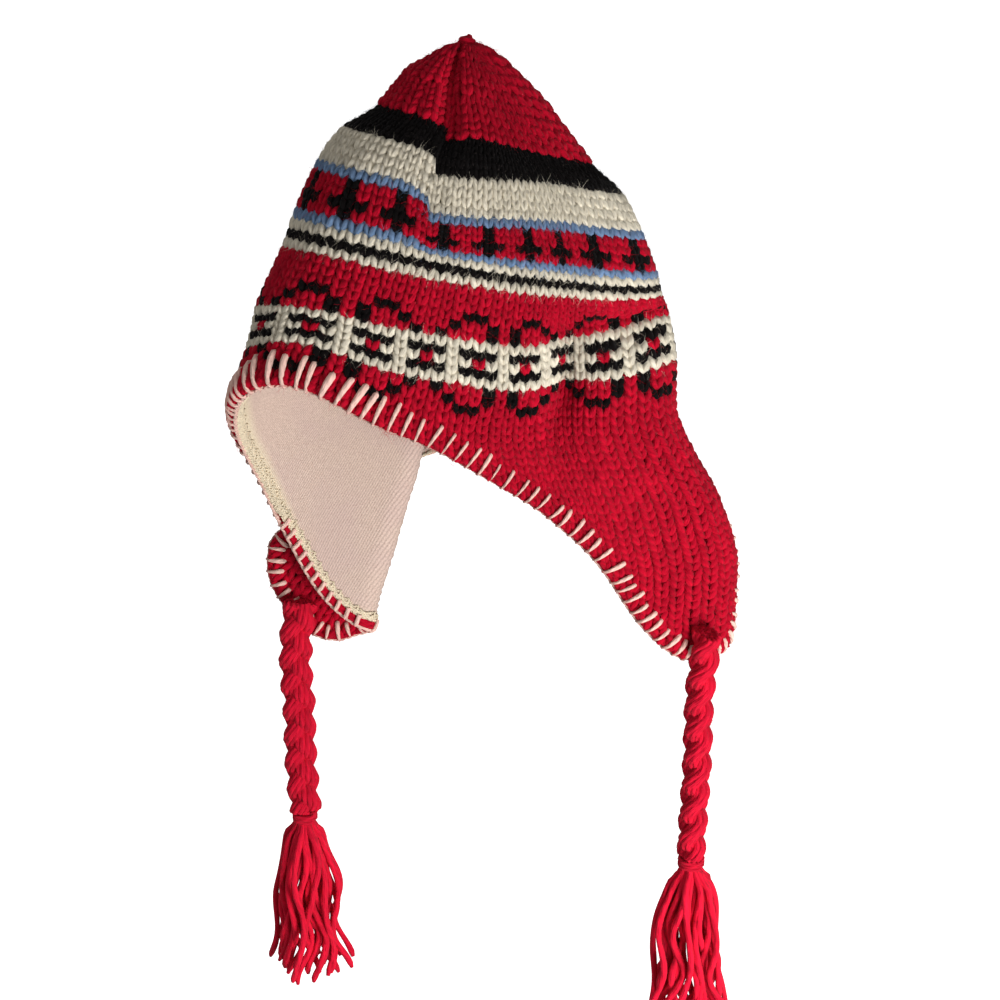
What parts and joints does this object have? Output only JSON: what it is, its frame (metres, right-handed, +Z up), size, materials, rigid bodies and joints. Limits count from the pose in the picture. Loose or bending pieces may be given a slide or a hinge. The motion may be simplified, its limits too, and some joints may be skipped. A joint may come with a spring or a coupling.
{
  "type": "knitted chullo hat",
  "caption": "Knitted earflap hat with a peaked crown, banded pattern, jersey lining, blanket-stitched rim and two hanging braids with tassels.",
  "frame": {"origin": "top of the lining's hollow, where a head's crown carries the hat", "axes": "+Z up, the forehead faces -Y, the wearer's left ear flap is at +X"},
  "size_m": [0.2397, 0.2297, 0.5503],
  "materials": {
    "knit": "thick double wool knitting in crimson with charted bands of black, cream and steel blue",
    "lining": "soft heathered jersey, pale beige",
    "yarn": "thick soft wool yarn, bright crimson"
  },
  "bodies": {
    "root": {"knit_shell": "knit", "lining": "lining", "braid_left": "yarn", "tassel_left": "yarn", "tie_left": "yarn", "braid_right": "yarn", "tassel_right": "yarn", "tie_right": "yarn"}
  },
  "joints": []
}
